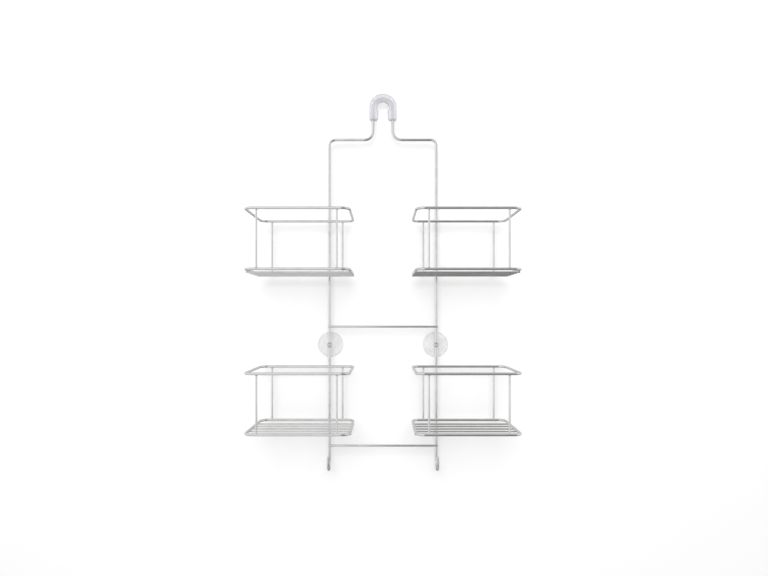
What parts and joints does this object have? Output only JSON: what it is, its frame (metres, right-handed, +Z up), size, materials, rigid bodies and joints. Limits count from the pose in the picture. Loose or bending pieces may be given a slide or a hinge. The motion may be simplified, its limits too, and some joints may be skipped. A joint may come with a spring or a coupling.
{
  "type": "shower caddy",
  "caption": "Wire shower caddy that hangs on the shower arm, with paired upper and lower baskets, suction cups and end hooks.",
  "frame": {"origin": "centre of the round hole in the head sleeve, where the shower arm lies", "axes": "+Z up, +Y towards the wall, so the baskets reach out along -Y, and +X to the right seen from the front"},
  "size_m": [0.4256, 0.1388, 0.6514],
  "materials": {
    "chrome_wire": "satin chrome plate on round steel wire",
    "clear_sleeve": "clear flexible vinyl with a faint cool tint, polished faces",
    "clear_cup": "clear soft vinyl, smooth"
  },
  "bodies": {
    "welded_frame": {"frame_wire": "chrome_wire", "head_sleeve": "clear_sleeve", "mid_crossbar": "chrome_wire", "lower_crossbar": "chrome_wire", "upper_left_basket_top_rim": "chrome_wire", "upper_left_basket_bottom_rim": "chrome_wire", "upper_left_basket_front_left_post": "chrome_wire", "upper_left_basket_front_right_post": "chrome_wire", "upper_left_basket_back_left_post": "chrome_wire", "upper_left_basket_back_right_post": "chrome_wire", "upper_left_basket_floor_wire_1": "chrome_wire", "upper_left_basket_floor_wire_2": "chrome_wire", "upper_left_basket_floor_wire_3": "chrome_wire", "upper_left_basket_floor_wire_4": "chrome_wire", "upper_left_basket_floor_wire_5": "chrome_wire", "lower_left_basket_top_rim": "chrome_wire", "lower_left_basket_bottom_rim": "chrome_wire", "lower_left_basket_front_left_post": "chrome_wire", "lower_left_basket_front_right_post": "chrome_wire", "lower_left_basket_back_left_post": "chrome_wire", "lower_left_basket_back_right_post": "chrome_wire", "lower_left_basket_floor_wire_1": "chrome_wire", "lower_left_basket_floor_wire_2": "chrome_wire", "lower_left_basket_floor_wire_3": "chrome_wire", "lower_left_basket_floor_wire_4": "chrome_wire", "lower_left_basket_floor_wire_5": "chrome_wire", "upper_right_basket_top_rim": "chrome_wire", "upper_right_basket_bottom_rim": "chrome_wire", "upper_right_basket_front_left_post": "chrome_wire", "upper_right_basket_front_right_post": "chrome_wire", "upper_right_basket_back_left_post": "chrome_wire", "upper_right_basket_back_right_post": "chrome_wire", "upper_right_basket_floor_wire_1": "chrome_wire", "upper_right_basket_floor_wire_2": "chrome_wire", "upper_right_basket_floor_wire_3": "chrome_wire", "upper_right_basket_floor_wire_4": "chrome_wire", "upper_right_basket_floor_wire_5": "chrome_wire", "lower_right_basket_top_rim": "chrome_wire", "lower_right_basket_bottom_rim": "chrome_wire", "lower_right_basket_front_left_post": "chrome_wire", "lower_right_basket_front_right_post": "chrome_wire", "lower_right_basket_back_left_post": "chrome_wire", "lower_right_basket_back_right_post": "chrome_wire", "lower_right_basket_floor_wire_1": "chrome_wire", "lower_right_basket_floor_wire_2": "chrome_wire", "lower_right_basket_floor_wire_3": "chrome_wire", "lower_right_basket_floor_wire_4": "chrome_wire", "lower_right_basket_floor_wire_5": "chrome_wire"},
    "left_cup": {"left_suction_cup": "clear_cup"},
    "right_cup": {"right_suction_cup": "clear_cup"}
  },
  "joints": [
    {"name": "left_cup_slide", "type": "slide", "parent": "welded_frame", "child": "left_cup", "axis": [0, 0, 1], "range_m": [-0.03, 0.025]},
    {"name": "right_cup_slide", "type": "slide", "parent": "welded_frame", "child": "right_cup", "axis": [0, 0, 1], "range_m": [-0.03, 0.025]}
  ]
}
